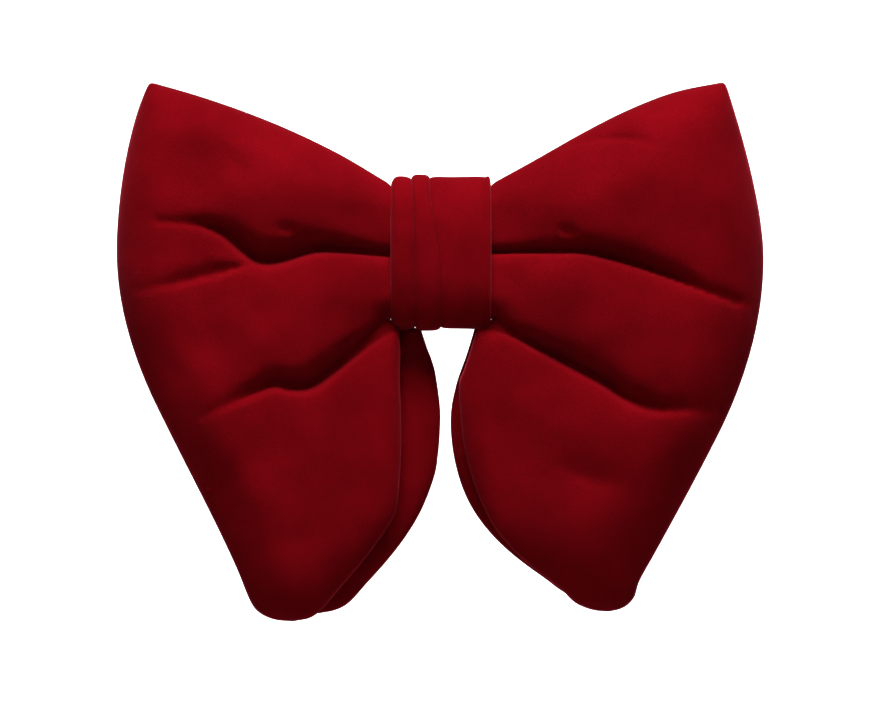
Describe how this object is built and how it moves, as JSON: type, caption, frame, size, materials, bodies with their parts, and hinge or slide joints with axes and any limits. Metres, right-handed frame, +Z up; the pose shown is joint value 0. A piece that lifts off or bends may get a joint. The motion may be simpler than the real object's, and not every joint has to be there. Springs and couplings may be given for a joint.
{
  "type": "bow tie",
  "caption": "Pre-tied bow tie: padded velvet front and rear bows gathered by a pleated knot, on a round adjustable neckband with slider, hook and eye.",
  "frame": {"origin": "middle of the closed neckband loop, on the neck's axis at the band's mid height", "axes": "+Z up along the neck, -Y out through the front of the bow, +X to the right as seen from the front"},
  "size_m": [0.1502, 0.1532, 0.1252],
  "materials": {
    "bow_velvet": "deep red pile velvet, soft sheen",
    "neckband_velvet": "deep red velvet ribbon",
    "wadding": "loose fibre filling",
    "interlining": "stiff woven interlining",
    "thread": "twisted sewing thread",
    "nickel_fittings": "polished nickel plate"
  },
  "bodies": {
    "knot_and_band": {"front_bow_waist": "bow_velvet", "rear_bow_waist": "bow_velvet", "waist_thread": "thread", "knot_wrap": "bow_velvet", "knot_lining": "interlining", "knot_seam_stitches": "thread", "neckband": "neckband_velvet", "neckband_return": "neckband_velvet", "neckband_tacks": "thread", "eye_ring": "nickel_fittings"},
    "slider_carriage": {"slider": "nickel_fittings", "slider_crossing": "neckband_velvet", "sewn_end_loop": "neckband_velvet"},
    "short_side": {"neckband_short_side": "neckband_velvet", "hook": "nickel_fittings", "hook_loop_stitches": "thread"},
    "left_front_wing": {"left_front_wing_face_panel": "bow_velvet", "left_front_wing_back_panel": "bow_velvet", "left_front_wing_wadding": "wadding"},
    "right_front_wing": {"right_front_wing_face_panel": "bow_velvet", "right_front_wing_back_panel": "bow_velvet", "right_front_wing_wadding": "wadding"},
    "left_rear_wing": {"left_rear_wing_face_panel": "bow_velvet", "left_rear_wing_back_panel": "bow_velvet", "left_rear_wing_wadding": "wadding"},
    "right_rear_wing": {"right_rear_wing_face_panel": "bow_velvet", "right_rear_wing_back_panel": "bow_velvet", "right_rear_wing_wadding": "wadding"}
  },
  "joints": [
    {"name": "left_front_wing_flex", "type": "hinge", "parent": "knot_and_band", "child": "left_front_wing", "pos_m": [-0.009, -0.07275, 0], "axis": [0, 0, 1], "range_deg": [0, 12], "stiffness_Nm_per_rad": 0.05},
    {"name": "right_front_wing_flex", "type": "hinge", "parent": "knot_and_band", "child": "right_front_wing", "pos_m": [0.0045, -0.07275, 0], "axis": [0, 0, 1], "range_deg": [-12, 0], "stiffness_Nm_per_rad": 0.05},
    {"name": "left_rear_wing_flex", "type": "hinge", "parent": "knot_and_band", "child": "left_rear_wing", "pos_m": [0, -0.07235, 0], "axis": [0, 0, 1], "range_deg": [-8, 0], "stiffness_Nm_per_rad": 0.05},
    {"name": "right_rear_wing_flex", "type": "hinge", "parent": "knot_and_band", "child": "right_rear_wing", "pos_m": [0.0023, -0.07235, 0], "axis": [0, 0, 1], "range_deg": [0, 8], "stiffness_Nm_per_rad": 0.05},
    {"name": "slider_travel", "type": "hinge", "parent": "knot_and_band", "child": "slider_carriage", "pos_m": [0, 0, 0], "axis": [0, 0, 1], "range_deg": [-45, 15], "deforming": ["neckband_return"]},
    {"name": "short_side_opening", "type": "hinge", "parent": "knot_and_band", "child": "short_side", "pos_m": [-0.05413, -0.03125, 0], "axis": [0, 0, 1], "range_deg": [-14, 0], "stiffness_Nm_per_rad": 0.02}
  ]
}
